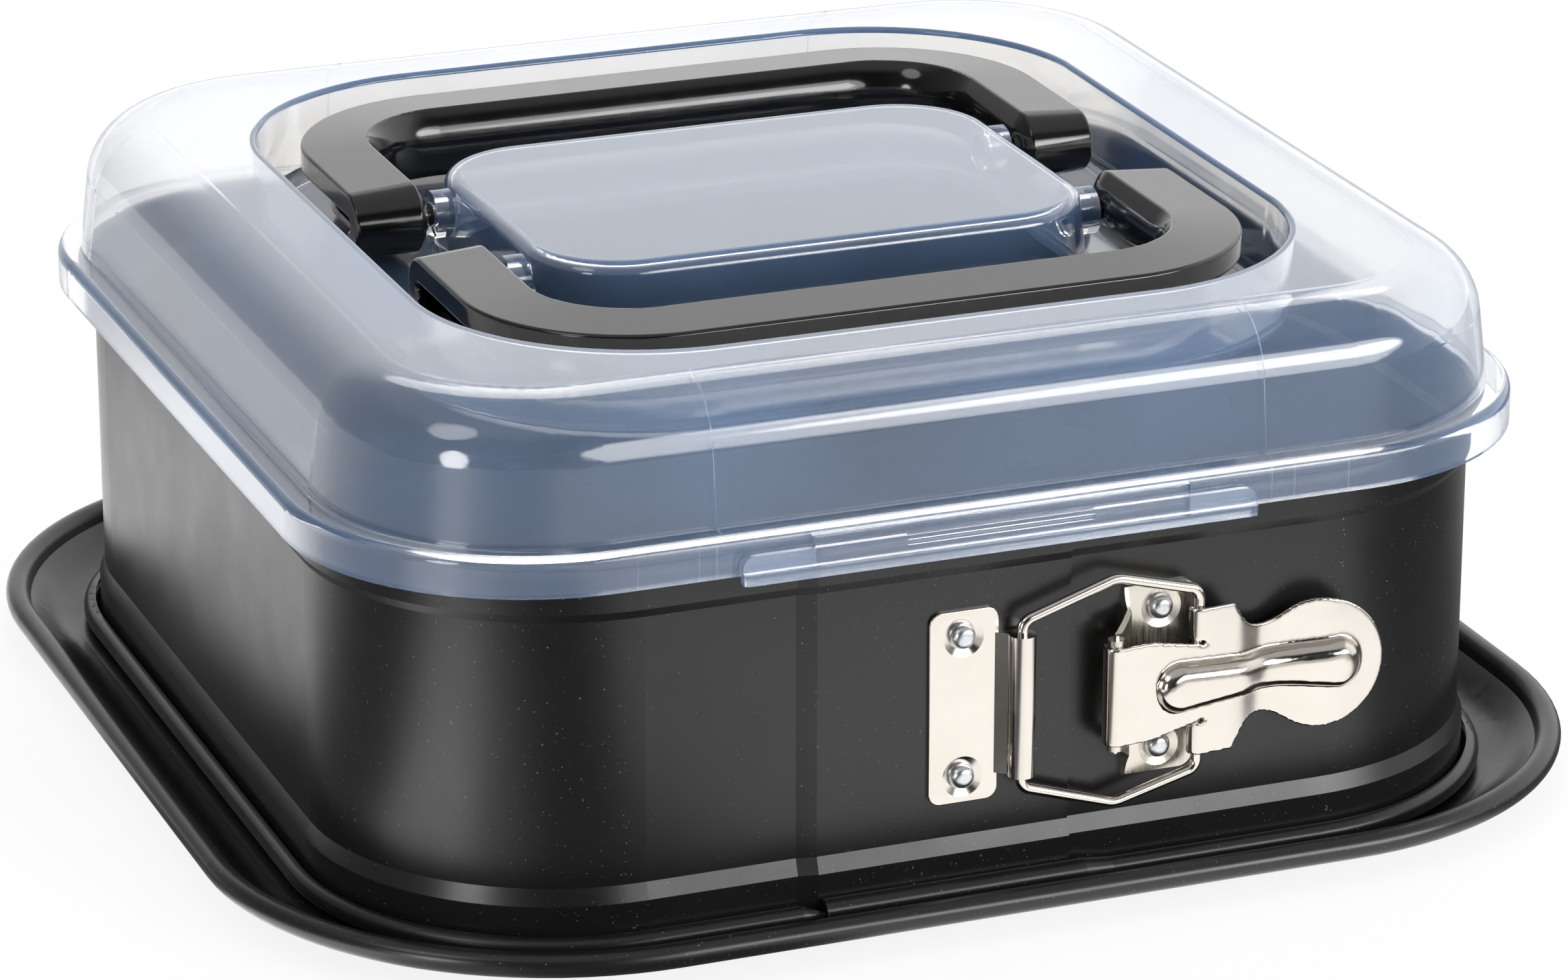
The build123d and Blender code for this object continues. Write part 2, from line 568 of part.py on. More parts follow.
with BuildPart() as rib_hollow:
    with BuildSketch(Plane.XY.offset(LATCH_HEIGHT - EAR_HALF)):
        lever_band(LATCH_SHEET, LATCH_SHEET - RIB_TALL)
    extrude(amount=2 * EAR_HALF)
    with BuildSketch(latch_plane(-BAND_HALF)):
        rib_outline(LATCH_SHEET)
    extrude(amount=SKIRT_HALF - BAND_HALF + EAR_HALF, mode=Mode.INTERSECT)
    fillet(rib_hollow.edges().group_by(Axis.Y)[0], RIB_TALL - RIB_EDGE - LATCH_SHEET)

with BuildPart() as latch_lever:
    with BuildSketch(Plane.XY.offset(LATCH_HEIGHT - EAR_HALF)):
        lever_band(0, LATCH_SHEET)
    extrude(amount=2 * EAR_HALF)
    with BuildSketch(latch_plane(-BAND_HALF)):
        with BuildLine():
            Polyline((PIVOT_X, 0), (PIVOT_X, TONGUE_HALF), (PIVOT_X + TONGUE_TAPER, TONGUE_HALF),
                     (PIVOT_X + TONGUE_TIP, TONGUE_TIP_HALF), (EAR_LEFT, EAR_FOOT), (EAR_LEFT, EAR_HALF),
                     (EAR_RIGHT, EAR_HALF))
            Bezier((EAR_RIGHT, EAR_HALF), (EAR_RIGHT + EAR_EASE * 3 / 4, EAR_HALF - EAR_EASE * 5 / 8),
                   (EAR_RIGHT + EAR_EASE, WAIST_HALF), (WAIST_X, WAIST_HALF))
            Bezier((WAIST_X, WAIST_HALF), (WAIST_X + WAIST_EASE, WAIST_HALF), (TAB_X - TAB_EASE, TAB_HALF),
                   (TAB_X, TAB_HALF))
            CenterArc((TAB_X, 0), TAB_HALF, 0, 90)
            Line((TAB_TIP_X, 0), (PIVOT_X, 0))
        make_face()
        mirror(about=Plane.XZ)
    extrude(amount=SKIRT_HALF - BAND_HALF + EAR_HALF, mode=Mode.INTERSECT)
    add(lever_rib.part)
    add(rib_hollow.part, mode=Mode.SUBTRACT)
    with BuildSketch(Plane.XY.offset(LATCH_HEIGHT - TONGUE_HALF)):
        with Locations((PIVOT_X, PIVOT_Y)):
            Circle(PIVOT_Y - lever_face)
            Circle(PIVOT_Y - lever_back, mode=Mode.SUBTRACT)
            far = 2 * (PIVOT_Y - lever_face)
            Polygon((0, 0), (0, -far), (far, -far), (far, far * tan(radians(CURL_FROM))), align=None,
                    mode=Mode.SUBTRACT)
    extrude(amount=2 * TONGUE_HALF)
    for side in (-1, 1):
        hook_middle = LATCH_HEIGHT + side * (EAR_HALF + EAR_FOOT) / 2
        with BuildSketch(Plane.XY.offset(hook_middle - (EAR_HALF - EAR_FOOT) / 2)):
            with Locations((ROD_X, rod_y)):
                Circle(rod_y - hook_back + LATCH_SHEET)
                Circle(rod_y - hook_back, mode=Mode.SUBTRACT)
                Polygon((0, 0), (0, -far), (far, -far), (far, far), (-far, far), (-far, far / 4), align=None,
                        mode=Mode.SUBTRACT)
        extrude(amount=EAR_HALF - EAR_FOOT)
latch_lever.part.label = "latch_lever"
export_step(latch_lever.part, "parts/latch_lever.step")

# Cover: dome, skirt, a sunk channel and the plateau inside it, all of one skin
handle_axis_z = HANDLE_TOP - HANDLE_DEEP / 2
channel_slope = tan(radians(CHANNEL_DRAFT))
cover_centre = SKIRT_HALF - SKIRT_CORNER


def dome_block(inset):
    half = DOME_HALF - inset + inset * tan(radians(DOME_DRAFT))
    rounded_block(half, half, half - cover_centre, LEDGE_TOP - inset, DOME_TOP - inset, DOME_DRAFT)


def channel_block(grow):
    """The channel, wider at its top, cut out of whatever the dome block left."""
    low = CHANNEL_FLOOR - grow
    change = grow - (DOME_TOP - low) * channel_slope
    rounded_block(
        CHANNEL_HALF_X + change, CHANNEL_HALF_Y + change, CHANNEL_CORNER + change, low,
        DOME_TOP + SKIN, -CHANNEL_DRAFT, Mode.SUBTRACT,
    )


def plateau_block(inset):
    change = (PLATEAU_TOP - CHANNEL_FLOOR) * channel_slope - inset
    rounded_block(
        PLATEAU_HALF_X + change, PLATEAU_HALF_Y + change, PLATEAU_CORNER + change, CHANNEL_FLOOR - inset,
        PLATEAU_TOP - inset, CHANNEL_DRAFT,
    )


def edges_at(part, height):
    return part.edges().filter_by_position(Axis.Z, height - LEVEL_TOLERANCE, height + LEVEL_TOLERANCE)


with BuildPart() as cover_hollow:
    dome_block(SKIN)
    fillet(edges_at(cover_hollow, DOME_TOP - SKIN), SHOULDER - SKIN)
    channel_block(SKIN)
    fillet(edges_at(cover_hollow, CHANNEL_FLOOR - SKIN), FLOOR_FILLET)
    plateau_block(SKIN)
    fillet(edges_at(cover_hollow, PLATEAU_TOP - SKIN), PLATEAU_ROUND - SKIN)
    inner_skirt = SKIRT_HALF - SKIN
    rounded_block(
        inner_skirt, inner_skirt, inner_skirt - cover_centre, SKIRT_FOOT - SKIN, LEDGE_TOP - SKIN
    )

with BuildPart() as cover:
    rounded_block(SKIRT_HALF, SKIRT_HALF, SKIRT_CORNER, SKIRT_FOOT, LEDGE_TOP)
    fillet(edges_at(cover, LEDGE_TOP), LEDGE_ROUND)
    dome_block(0)
    fillet(edges_at(cover, DOME_TOP), SHOULDER)
    channel_block(0)
    fillet(edges_at(cover, DOME_TOP), CHANNEL_LIP)
    plateau_block(0)
    fillet(edges_at(cover, PLATEAU_TOP), PLATEAU_ROUND)
    fillet(edges_at(cover, CHANNEL_FLOOR), FLOOR_FILLET)
    add(cover_hollow.part, mode=Mode.SUBTRACT)
    lug_root = PLATEAU_HALF_X - SKIN
    for side_x in (-1, 1):
        for side_y in (-1, 1):
            lug_place = (side_x * (lug_root + LUG_END) / 2, side_y * HINGE_Y, handle_axis_z)
            with Locations(Location(lug_place, (0, 90, 0))):
                Cylinder(LUG_R, LUG_END - lug_root)
                Cylinder(PIN_R + RUNNING_FIT, 3 * (LUG_END - lug_root), mode=Mode.SUBTRACT)
    window_top = CLIP_HINGE_Z + SLIT / 4
    for side_y in (-1, 1):
        with Locations((0, side_y * SKIRT_HALF, (SKIRT_FOOT + window_top) / 2)):
            Box(2 * (TONGUE_X + SLIT), 3 * SKIN, window_top - SKIRT_FOOT, mode=Mode.SUBTRACT)
cover.part.label = "cover"
export_step(cover.part, "parts/cover.step")

# Clips: a tongue let into the skirt, with a stepped finger strip along its outside
strip_back = SKIRT_HALF + SEAT_GAP
strip_middle = (STRIP_LEFT + STRIP_RIGHT) / 2


def strip_block(low, high, proud):
    """One tier of the strip, standing proud of the skirt by the given amount."""
    with Locations((strip_middle, -(strip_back + SKIRT_HALF + proud) / 2, (low + high) / 2)):
        Box(STRIP_RIGHT - STRIP_LEFT, SKIRT_HALF + proud - strip_back, high - low)


with BuildPart() as front_clip:
    strip_block(STRIP_FOOT, STRIP_TOP, STRIP_THIN)
    fillet(front_clip.edges().filter_by(Axis.Y), STRIP_CORNER)
    strip_block(STRIP_FOOT, STRIP_STEP, STRIP_THICK)
    lower_ends = front_clip.edges().filter_by(Axis.Z).group_by(Axis.Y)[0]
    fillet(lower_ends, STRIP_THIN / 2)
    tongue_top = CLIP_HINGE_Z - SLIT / 2
    with Locations((0, -(strip_back + SKIRT_HALF - TONGUE_THICK) / 2, (SKIRT_FOOT + tongue_top) / 2)):
        Box(2 * TONGUE_X, TONGUE_THICK + SEAT_GAP, tongue_top - SKIRT_FOOT)
    with Locations(Location((0, TONGUE_THICK - SKIRT_HALF, NIB_HEIGHT), (0, 90, 0))):
        Cylinder(NIB_DEEP, TONGUE_X)
front_clip.part.label = "front_clip"
export_step(front_clip.part, "parts/front_clip.step")

with BuildPart() as rear_clip:
    add(mirror(front_clip.part, about=Plane.XZ, mode=Mode.PRIVATE))
rear_clip.part.label = "rear_clip"
export_step(rear_clip.part, "parts/rear_clip.step")

# Handles: a C section, open to the outside, bent to a U and hinged at its two round noses
nose_plane = Plane(
    origin=(-LEG_INNER, -HINGE_Y, handle_axis_z), x_dir=(-1, 0, 0), z_dir=(0, -1, 0)
)
half_deep = HANDLE_DEEP / 2


def handle_section():
    """Handle cut across: sketch X outward from the flat's inner edge, sketch Y down from mid-height."""
    fall = HANDLE_WALL * HANDLE_FALL / HANDLE_WIDE
    rim_low = HANDLE_FALL + HANDLE_RIM - half_deep
    under = HANDLE_WALL - half_deep
    with BuildLine() as outline:
        Polyline(
            (0, -half_deep), (HANDLE_WIDE, HANDLE_FALL - half_deep), (HANDLE_WIDE, rim_low),
            (HANDLE_WIDE - HANDLE_WALL, rim_low), (HANDLE_WIDE - HANDLE_WALL, under + HANDLE_FALL - fall),
            (HANDLE_WALL, under + fall),
        )
        ThreePointArc((HANDLE_WALL, under + fall), (HANDLE_WALL - HANDLE_BULGE, 0), (HANDLE_WALL, -under))
        Polyline((HANDLE_WALL, -under), (HANDLE_FOOT, -under), (HANDLE_FOOT, half_deep), (0, half_deep))
        ThreePointArc((0, half_deep), (-HANDLE_BULGE, 0), (0, -half_deep))
    face = make_face(outline.edges())
    fillet(face.vertices().group_by(Axis.Z)[-1], HANDLE_EDGE)


with BuildPart() as front_handle:
    with BuildLine(Plane.XY.offset(HANDLE_TOP)) as handle_path:
        FilletPolyline(
            (-LEG_INNER, -HINGE_Y), (-LEG_INNER, -BAR_INNER), (LEG_INNER, -BAR_INNER),
            (LEG_INNER, -HINGE_Y), radius=HANDLE_CORNER,
        )
    with BuildSketch(nose_plane):
        handle_section()
    sweep(path=handle_path.wire())
    with BuildSketch(nose_plane) as nose:
        handle_section()
        with Locations((0, HANDLE_DEEP)):
            Rectangle(4 * HANDLE_WIDE, 2 * HANDLE_DEEP, mode=Mode.SUBTRACT)
    hinge_axis = Axis((0, -HINGE_Y, handle_axis_z), (1, 0, 0))
    revolve(axis=hinge_axis, revolution_arc=-180)
    pin_root = LEG_INNER - HANDLE_BULGE + HANDLE_WALL / 2
    with Locations(Location((-(PIN_END + pin_root) / 2, -HINGE_Y, handle_axis_z), (0, 90, 0))):
        Cylinder(PIN_R, pin_root - PIN_END)
    mirror(about=Plane.YZ)
front_handle.part.label = "front_handle"
export_step(front_handle.part, "parts/front_handle.step")

with BuildPart() as rear_handle:
    add(mirror(front_handle.part, about=Plane.XZ, mode=Mode.PRIVATE))
rear_handle.part.label = "rear_handle"
export_step(rear_handle.part, "parts/rear_handle.step")
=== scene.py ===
from math import cos, pi, radians, sin

import bpy
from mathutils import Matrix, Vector


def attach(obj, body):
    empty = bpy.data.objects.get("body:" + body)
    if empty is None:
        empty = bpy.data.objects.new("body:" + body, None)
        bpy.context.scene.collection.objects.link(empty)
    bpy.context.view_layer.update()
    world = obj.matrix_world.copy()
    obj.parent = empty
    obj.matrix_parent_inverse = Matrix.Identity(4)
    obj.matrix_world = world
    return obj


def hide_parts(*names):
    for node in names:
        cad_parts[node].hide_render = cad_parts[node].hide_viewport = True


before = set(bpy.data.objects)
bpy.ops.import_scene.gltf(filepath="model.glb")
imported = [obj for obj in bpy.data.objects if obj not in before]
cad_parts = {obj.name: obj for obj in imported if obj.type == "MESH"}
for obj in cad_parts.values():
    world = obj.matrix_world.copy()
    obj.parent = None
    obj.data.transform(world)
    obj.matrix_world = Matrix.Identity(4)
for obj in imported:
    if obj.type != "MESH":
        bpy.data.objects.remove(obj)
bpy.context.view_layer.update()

MM = 0.001

# Places of a Mix node's factor, A and B among its inputs, and of the result among its outputs
MIX_SOCKETS = {"FLOAT": (0, 2, 3, 0), "RGBA": (0, 6, 7, 2)}


class Nodes:
    """A node tree with helpers that add nodes.

    A value that goes into a socket is a number, a colour or the output of another node.
    """

    def __init__(self, tree):
        self.tree = tree

    def put(self, value, socket):
        if isinstance(value, bpy.types.NodeSocket):
            self.tree.links.new(value, socket)
        else:
            socket.default_value = value

    def fill(self, node, **values):
        """Put values into the node's sockets, whose names have _ here for each space."""
        for name, value in values.items():
            self.put(value, node.inputs[name.replace("_", " ")])

    def node(self, kind, **values):
        made = self.tree.nodes.new(kind)
        self.fill(made, **values)
        return made

    def maths(self, operation, *values):
        made = self.node("ShaderNodeMath")
        made.operation = operation
        for value, socket in zip(values, made.inputs):
            self.put(value, socket)
        return made.outputs[0]

    def ranged(self, value, start, end, low, high, slope="LINEAR"):
        """The value mapped from start..end to low..high, and kept between them."""
        made = self.node(
            "ShaderNodeMapRange", Value=value, From_Min=start, From_Max=end, To_Min=low, To_Max=high
        )
        made.interpolation_type = slope
        return made.outputs["Result"]

    def between(self, share, low, high, data_type="FLOAT"):
        """A number or colour between low and high by the share."""
        made = self.node("ShaderNodeMix")
        made.data_type = data_type
        factor, a, b, result = MIX_SOCKETS[data_type]
        for value, index in ((share, factor), (low, a), (high, b)):
            self.put(value, made.inputs[index])
        return made.outputs[result]

    def mixed(self, share, first, second):
        """A shader node between two others by the share."""
        made = self.node("ShaderNodeMixShader")
        for value, socket in zip((share, first.outputs[0], second.outputs[0]), made.inputs):
            self.put(value, socket)
        return made

    def show(self, shader):
        """Make the shader node the one that the material shows."""
        self.fill(self.tree.nodes["Material Output"], Surface=shader.outputs[0])


# Materials

NOISE_RANGE = (0.3, 0.7)       # most of a noise lies between these
FLECKS = (0.8, 0.86)           # from here up the coating's noise turns into bright flecks
BRUSHING = (40, 40, 1)         # how many times finer the bracket's grain is along X, Y and Z
HAZE = 0.085                   # share of the cover's skin that scatters light
HAZE_CHANGE = 0.02             # by which that share differs from place to place


class Surface(Nodes):
    """A Principled material whose grain, wear and bumps come from noise."""

    def __init__(self, name, **values):
        self.material = bpy.data.materials.new(name)
        self.material.use_nodes = True
        super().__init__(self.material.node_tree)
        self.shader = self.tree.nodes["Principled BSDF"]
        self.fill(self.shader, **values)
        self.place = self.node("ShaderNodeTexCoord").outputs["Object"]

    def noise(self, size, detail, finer=(1, 1, 1)):
        """Noise from 0 to 1 whose blobs are about size millimetres wide."""
        mapping = self.node("ShaderNodeMapping", Vector=self.place, Scale=finer)
        place = mapping.outputs["Vector"]
        scale = 1 / (size * MM)
        made = self.node("ShaderNodeTexNoise", Vector=place, Scale=scale, Detail=detail)
        return made.outputs["Fac"]

    def spread(self, noise, low, high):
        """The noise mapped to low..high."""
        return self.ranged(noise, *NOISE_RANGE, low, high)

    def tint(self, value, dark, light):
        """Colour the shader between dark and light by the value."""
        self.fill(self.shader, Base_Color=self.between(value, (*dark, 1), (*light, 1), "RGBA"))

    def roughen(self, noise, low, high):
        """Vary the shader's roughness between low and high by the noise."""
        self.fill(self.shader, Roughness=self.spread(noise, low, high))

    def relief(self, *layers):
        """Bumps, each a value and its height in millimetres, one over the other."""
        upper = self.shader
        for value, height in reversed(layers):
            made = self.node("ShaderNodeBump", Strength=1, Distance=height * MM, Height=value)
            self.fill(upper, Normal=made.outputs["Normal"])
            upper = made


def coated_steel():
    """Baked-on non-stick coating: near black, satin, with a few fine bright flecks."""
    made = Surface("coated_steel", Metallic=0, Specular_IOR_Level=0.52)
    flecks = made.ranged(made.noise(0.45, detail=0), *FLECKS, 0, 1)
    made.tint(flecks, (0.0062, 0.0056, 0.0056), (0.1, 0.1, 0.105))
    made.roughen(made.noise(14, detail=4), 0.27, 0.33)
    made.relief((made.noise(0.5, detail=2), 0.006), (made.noise(30, detail=1), 0.12))
    return made.material


def nickel():
    """Bright nickel plate with a warm cast and faint handling marks."""
    made = Surface("nickel", Metallic=1)
    made.tint(made.noise(9, detail=3), (0.6, 0.56, 0.505), (0.66, 0.62, 0.565))
    made.roughen(made.noise(3, detail=4), 0.11, 0.17)
    made.relief((made.noise(0.4, detail=2), 0.002), (made.noise(8, detail=1), 0.03))
    return made.material


def brushed_steel():
    """Plain steel with grain along its height."""
    made = Surface("bracket_steel", Metallic=1)
    grain = made.noise(6, detail=3, finer=BRUSHING)
    made.tint(grain, (0.5, 0.47, 0.41), (0.74, 0.71, 0.63))
    made.roughen(grain, 0.2, 0.36)
    made.relief((grain, 0.01))
    return made.material


def rivet_metal():
    """Grey metal with the dull, uneven skin of a formed rivet head."""
    made = Surface("rivet_metal", Metallic=1)
    made.tint(made.noise(0.8, detail=3), (0.5, 0.52, 0.54), (0.7, 0.71, 0.73))
    made.roughen(made.noise(0.5, detail=3), 0.26, 0.38)
    made.relief((made.noise(0.7, detail=2), 0.02))
    return made.material


def cover_plastic():
    """Clear polypropylene with a slight milkiness, which turns bluish over dark things."""
    made = Surface(
        "cover_plastic",
        Metallic=0, IOR=1.33, Transmission_Weight=1, Coat_Weight=0.8, Coat_Roughness=0.09,
    )
    made.tint(made.noise(60, detail=2), (0.985, 0.96, 0.92), (0.995, 0.975, 0.94))
    made.roughen(made.noise(25, detail=3), 0.03, 0.07)
    made.relief((made.noise(0.8, detail=2), 0.0002), (made.noise(40, detail=1), 0.1))
    haze = made.node("ShaderNodeBsdfPrincipled", Base_Color=(0.32, 0.55, 1, 1), Roughness=0.3)
    share = made.spread(made.noise(45, detail=3), HAZE - HAZE_CHANGE, HAZE + HAZE_CHANGE)
    made.show(made.mixed(share, made.shader, haze))
    return made.material


def handle_plastic():
    """Glossy black moulded plastic."""
    made = Surface("handle_plastic", Metallic=0, Coat_Weight=0.3, Coat_Roughness=0.05)
    made.tint(made.noise(20, detail=2), (0.003, 0.003, 0.0034), (0.005, 0.005, 0.006))
    made.roughen(made.noise(6, detail=4), 0.1, 0.16)
    made.relief((made.noise(0.5, detail=2), 0.0015), (made.noise(15, detail=1), 0.04))
    return made.material


FINISHES = {
    coated_steel: ("base_plate", "ring_band"),
    nickel: ("hinge_plate", "wire_bail", "latch_lever"),
    brushed_steel: ("lever_bracket",),
    rivet_metal: ("hinge_plate_rivets", "bracket_rivets"),
    cover_plastic: ("cover", "front_clip", "rear_clip"),
    handle_plastic: ("front_handle", "rear_handle"),
}

for finish, nodes in FINISHES.items():
    material = finish()
    for node in nodes:
        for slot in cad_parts[node].material_slots:
            slot.material = material


# Pressed lever, in millimetres

LATCH_Z = 41.25                # height of the latch's centre line
RIB_X = (31.8, 76.2)           # the rib's ends along X
RIB_REACH = 8.0                # half the width that is softened round the rib
VOXEL = 0.3                    # fineness of the lever's new mesh
SOFTENING = 0.5                # strength of one smoothing pass at the rib
ELSEWHERE = 0.25               # share of it on the rest of the lever
PASSES = 16                    # how often the lever is smoothed


def pressed_lever():
    """The lever's own form with the soft shoulders that pressing leaves round its rib and edges."""
    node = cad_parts["latch_lever"]
    piece = bpy.data.objects.new("pressed_lever", node.data.copy())
    bpy.context.scene.collection.objects.link(piece)
    remesh = piece.modifiers.new("remesh", "REMESH")
    remesh.mode = "VOXEL"
    remesh.voxel_size = VOXEL * MM
    graph = bpy.context.evaluated_depsgraph_get()
    piece.data = bpy.data.meshes.new_from_object(piece.evaluated_get(graph))
    piece.modifiers.clear()
    for face in piece.data.polygons:
        face.use_smooth = True
    group = piece.vertex_groups.new(name="softened")
    for vertex in piece.data.vertices:
        x, _, z = (c / MM for c in vertex.co)
        near_rib = RIB_X[0] < x < RIB_X[1] and abs(z - LATCH_Z) < RIB_REACH
        group.add([vertex.index], 1.0 if near_rib else ELSEWHERE, "REPLACE")
    smooth = piece.modifiers.new("smooth", "SMOOTH")
    smooth.factor = SOFTENING
    smooth.iterations = PASSES
    smooth.vertex_group = group.name
    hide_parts("latch_lever")
    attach(piece, "lever")


pressed_lever()


# Moulding lines on the cover, in millimetres. A profile is a list of Y and Z on the rear side.

LINE_RADIUS = 0.11
SHOULDER_Y, SHOULDER_Z = 106.7, 97.7       # middle of the arc of the cover's shoulder
SHOULDER_R = 14.0
SHOULDER_ANGLES = range(84, 6, -6)         # degrees above level, down that arc
SHOULDER = [
    (SHOULDER_Y + SHOULDER_R * cos(radians(angle)), SHOULDER_Z + SHOULDER_R * sin(radians(angle)))
    for angle in SHOULDER_ANGLES
]
LEDGE = [(122.4, 84.5), (125.3, 84.3)]
SKIRT = [(126.9, 83.4), (127.3, 82.2), (127.3, 76.5)]
PARTING_X = {"left": -56.3, "right": 57.3}
SKIRT_LINES_X = (-73.8, -61.6, -58.1, 56.3, 61.2, 72.8)


def moulding_line(name, x, way, profile):
    """Thin raised line of the cover's plastic at x. The way is -1 in front and 1 on the rear."""
    data = bpy.data.curves.new(name, "CURVE")
    data.dimensions = "3D"
    data.bevel_depth = LINE_RADIUS * MM
    data.bevel_resolution = 2
    line = data.splines.new("POLY")
    line.points.add(len(profile) - 1)
    for point, (y, z) in zip(line.points, profile):
        point.co = (x * MM, way * y * MM, z * MM, 1)
    data.materials.append(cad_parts["cover"].material_slots[0].material)
    made = bpy.data.objects.new(name, data)
    bpy.context.scene.collection.objects.link(made)
    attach(made, "lid")


for side, way in (("front", -1), ("rear", 1)):
    for hand, x in PARTING_X.items():
        moulding_line(f"parting_{side}_{hand}", x, way, SHOULDER + LEDGE)
    for index, x in enumerate(SKIRT_LINES_X):
        moulding_line(f"skirt_line_{side}_{index}", x, way, SKIRT)


# Studio, in metres: white floor and surroundings, soft lamps, camera at the photograph's angle.
# Light by bearing is a list of pairs: degrees counted from -Y towards +X, and the light there.

PEAK = 3.0                     # most light that such a list can hold
FILL = 0.78                    # the world's light on things
CEILING = 0.55                 # what mirrors show of the ceiling
CEILING_RISE = (0.62, 0.8)     # upward part of a direction over which the ceiling begins
ROOM_LIGHT = (                 # what mirrors show of the walls, by bearing
    (-180, 1.15), (-166, 0.75), (-152, 0.35), (-100, 0.2), (-60, 0.1), (35, 0.1), (55, 0.6),
    (80, 1.3), (130, 1.3), (180, 1.15),
)

FLOOR_SIDE = 12
FLOOR_DROP = 0.0002            # keeps the floor clear of the base's underside
FLOOR_COLOUR = (0.92, 0.92, 0.92, 1)
FLOOR_ROUGHNESS = 0.9
FLOOR_GLOW = 0.86              # share of the floor that the camera sees as plain white
THROUGH = 1.4                  # what the cover shows of the floor behind it
FLOOR_LIGHT = (                # what mirrors show of the floor, by bearing
    (-180, 1.45), (-120, 1.45), (-105, 1.2), (-90, 0.4), (-76, 0.2), (-64, 0.9), (-54, 2.8),
    (-46, 1.5), (-38, 0.65), (-29, 0.15), (-20, 0.15), (-8, 1.4), (20, 1.55), (34, 1.4),
    (44, 0.3), (60, 0.15), (100, 0.5), (140, 1.2), (180, 1.45),
)
FLOOR_FAR = (0.27, 0.35)       # distances over which that light falls off
FAR_LIGHT = 0.5                # to this share
FLOOR_UNDER = (0.1, 0.13)      # up to these distances, below the object, it is even instead
UNDER_LIGHT = 0.5

LAMPS = (                      # name, size, watts and place
    ("key", (1.1, 0.54), 6.4, (0.56, -1.04, 0.38)),
    ("key_core", (0.75, 0.3), 3.3, (0.66, -0.98, 0.38)),
    ("strip", (0.22, 0.36), 1.6, (-0.8, -0.55, 0.2)),
    ("left", (0.5, 0.5), 1.6, (-0.9, -0.4, 0.95)),
    ("rear", (1.2, 0.6), 9.0, (0.35, 0.9, 1.1)),
)
LAMPS_AIM = Vector((0, 0, 0.06))
NOT_IN_MIRRORS = ("rear",)

CAMERA_PLACE = (-0.4499, -1.1640, 0.5044)
CAMERA_DOWN = 20.41            # degrees below level
CAMERA_TURN = 21.29            # degrees from +Y towards +X
CAMERA_LENS = 145.92           # focal length in millimetres
CAMERA_SENSOR = 36             # its width in millimetres
CAMERA_SHIFT = (0.0038, 0.0069)


class Light(Nodes):
    """The nodes of the world or the floor, which give each kind of ray a light of its own."""

    def __init__(self, tree):
        super().__init__(tree)
        path = self.node("ShaderNodeLightPath")
        self.in_camera = path.outputs["Is Camera Ray"]
        self.in_mirror = path.outputs["Is Glossy Ray"]
        self.through_glass = path.outputs["Is Transmission Ray"]

    def seen_directly(self):
        """1 for rays from the camera, in mirrors and through glass, 0 for light on things."""
        in_camera_or_mirror = self.maths("MAXIMUM", self.in_camera, self.in_mirror)
        return self.maths("MAXIMUM", in_camera_or_mirror, self.through_glass)

    def by_ray(self, camera, mirror, glass):
        """The value for the kind of ray. Glass comes last, as its rays can count as mirrored too."""
        opaque = self.between(self.in_mirror, camera, mirror)
        return self.between(self.through_glass, opaque, glass)

    def faded(self, value, span, low, high):
        """From low to high, smoothly, while the value goes through the span."""
        return self.ranged(value, *span, low, high, slope="SMOOTHSTEP")

    def by_bearing(self, place, pairs):
        """Light by the bearing of a place or direction, whose parts the node gives."""
        toward_front = self.maths("MULTIPLY", place.outputs["Y"], -1)
        bearing = self.maths("ARCTAN2", place.outputs["X"], toward_front)
        made = self.node("ShaderNodeFloatCurve", Value=self.ranged(bearing, -pi, pi, 0, 1))
        points = made.mapping.curves[0].points
        for degrees, light in pairs[1:-1]:
            points.new(0.5 + degrees / 360, light / PEAK)
        points[0].location = (0, pairs[0][1] / PEAK)
        points[-1].location = (1, pairs[-1][1] / PEAK)
        made.mapping.update()
        return self.maths("MULTIPLY", made.outputs[0], PEAK)


def add_world():
    """White surroundings, which mirrors show as a room with a ceiling and walls."""
    world = bpy.data.worlds.new("studio")
    world.use_nodes = True
    bpy.context.scene.world = world
    sky = Light(world.node_tree)
    view = sky.node("ShaderNodeTexCoord").outputs["Generated"]
    direction = sky.node("ShaderNodeSeparateXYZ", Vector=view)
    upward = sky.faded(direction.outputs["Z"], CEILING_RISE, 0, 1)
    room = sky.between(upward, sky.by_bearing(direction, ROOM_LIGHT), CEILING)
    shown = sky.by_ray(camera=1, mirror=room, glass=1)
    strength = sky.between(sky.seen_directly(), FILL, shown)
    sky.fill(sky.tree.nodes["Background"], Color=(1, 1, 1, 1), Strength=strength)


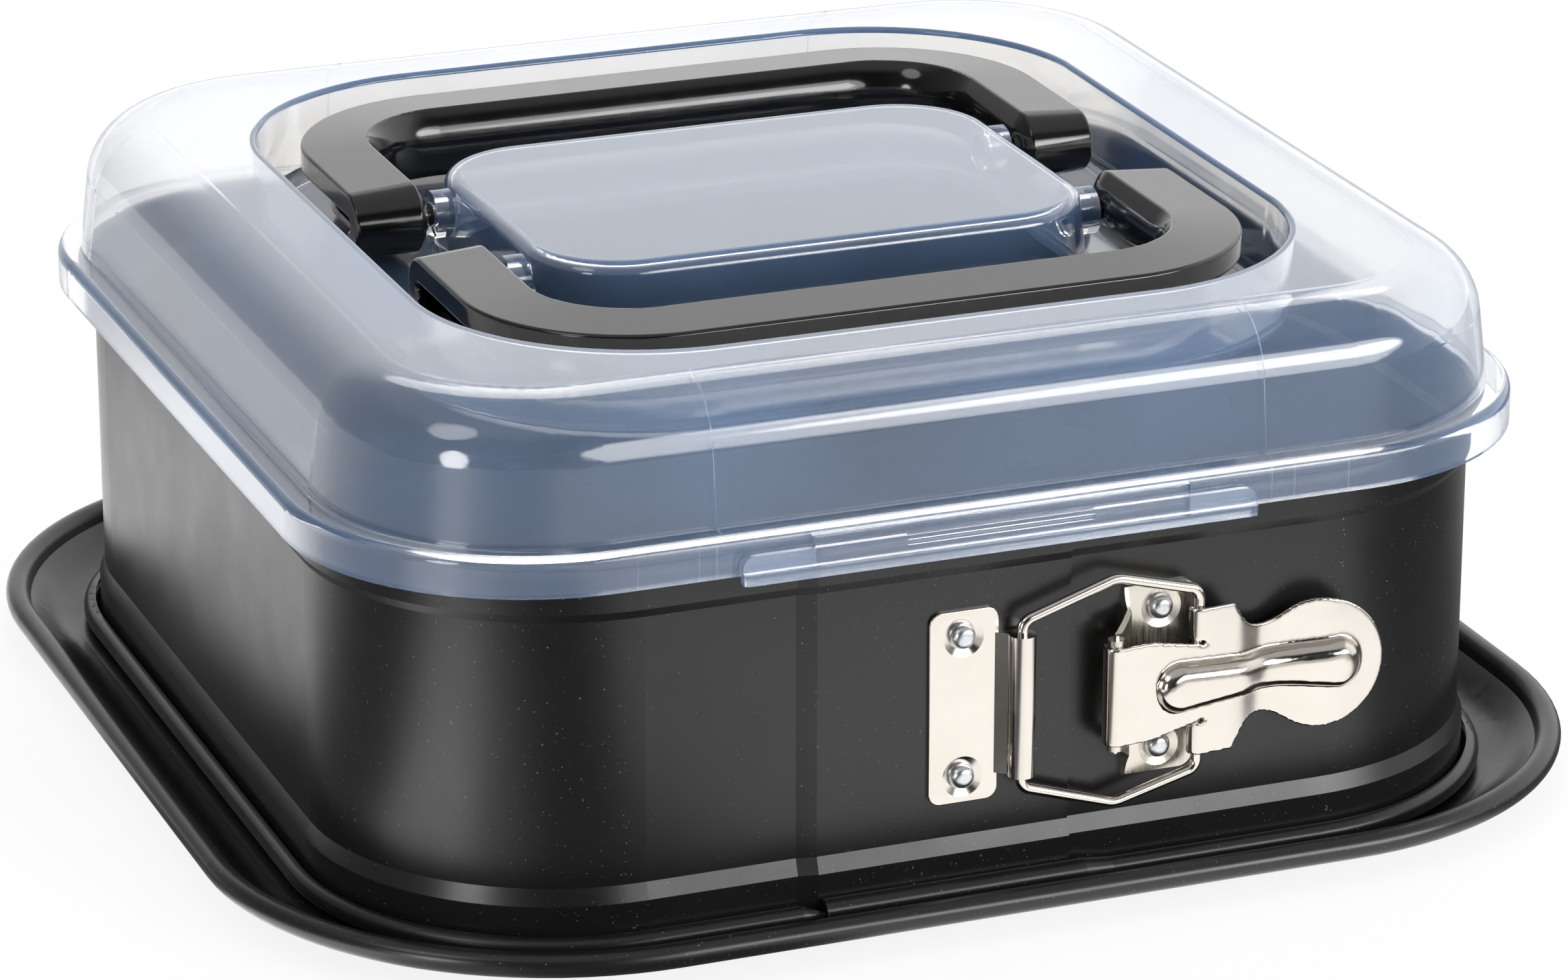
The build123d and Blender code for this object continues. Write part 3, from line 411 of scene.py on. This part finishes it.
def floor_material():
    """Matt white that takes shadows, glows where it is seen, and is clear from below."""
    material = bpy.data.materials.new("floor")
    material.use_nodes = True
    floor = Light(material.node_tree)
    geometry = floor.node("ShaderNodeNewGeometry")
    position = geometry.outputs["Position"]
    place = floor.node("ShaderNodeSeparateXYZ", Vector=position)
    length = floor.node("ShaderNodeVectorMath")
    length.operation = "LENGTH"
    floor.put(position, length.inputs[0])
    distance = length.outputs["Value"]

    far_share = floor.faded(distance, FLOOR_FAR, 1, FAR_LIGHT)
    around = floor.maths("MULTIPLY", floor.by_bearing(place, FLOOR_LIGHT), far_share)
    outside = floor.faded(distance, FLOOR_UNDER, 0, 1)
    mirrored = floor.between(outside, UNDER_LIGHT, around)
    strength = floor.by_ray(camera=1, mirror=mirrored, glass=THROUGH)
    glow = floor.node("ShaderNodeEmission", Strength=strength)

    matt = floor.tree.nodes["Principled BSDF"]
    floor.fill(matt, Base_Color=FLOOR_COLOUR, Roughness=FLOOR_ROUGHNESS)
    glow_share = floor.between(floor.seen_directly(), 0, FLOOR_GLOW)
    top = floor.mixed(floor.between(floor.in_mirror, glow_share, 1), matt, glow)
    clear = floor.node("ShaderNodeBsdfTransparent")
    floor.show(floor.mixed(geometry.outputs["Backfacing"], top, clear))
    return material


def add_floor():
    bpy.ops.mesh.primitive_plane_add(size=FLOOR_SIDE)
    floor = bpy.context.object
    floor.name = "floor"
    floor.location.z = -FLOOR_DROP
    floor.data.materials.append(floor_material())


def add_lamp(name, size, power, place):
    """Soft elliptical lamp aimed at the object."""
    data = bpy.data.lights.new(name, "AREA")
    data.shape = "ELLIPSE"
    data.size, data.size_y = size
    data.energy = power
    lamp = bpy.data.objects.new(name, data)
    lamp.location = place
    lamp.rotation_euler = (LAMPS_AIM - Vector(place)).to_track_quat("-Z", "Y").to_euler()
    lamp.visible_glossy = name not in NOT_IN_MIRRORS
    bpy.context.scene.collection.objects.link(lamp)


def add_camera():
    data = bpy.data.cameras.new("camera")
    data.sensor_width = CAMERA_SENSOR
    data.lens = CAMERA_LENS
    data.shift_x, data.shift_y = CAMERA_SHIFT
    camera = bpy.data.objects.new("camera", data)
    camera.location = CAMERA_PLACE
    camera.rotation_euler = (radians(90 - CAMERA_DOWN), 0, -radians(CAMERA_TURN))
    bpy.context.scene.collection.objects.link(camera)
    bpy.context.scene.camera = camera


add_world()
add_floor()
for lamp in LAMPS:
    add_lamp(*lamp)
add_camera()
bpy.context.scene.view_settings.view_transform = "Standard"
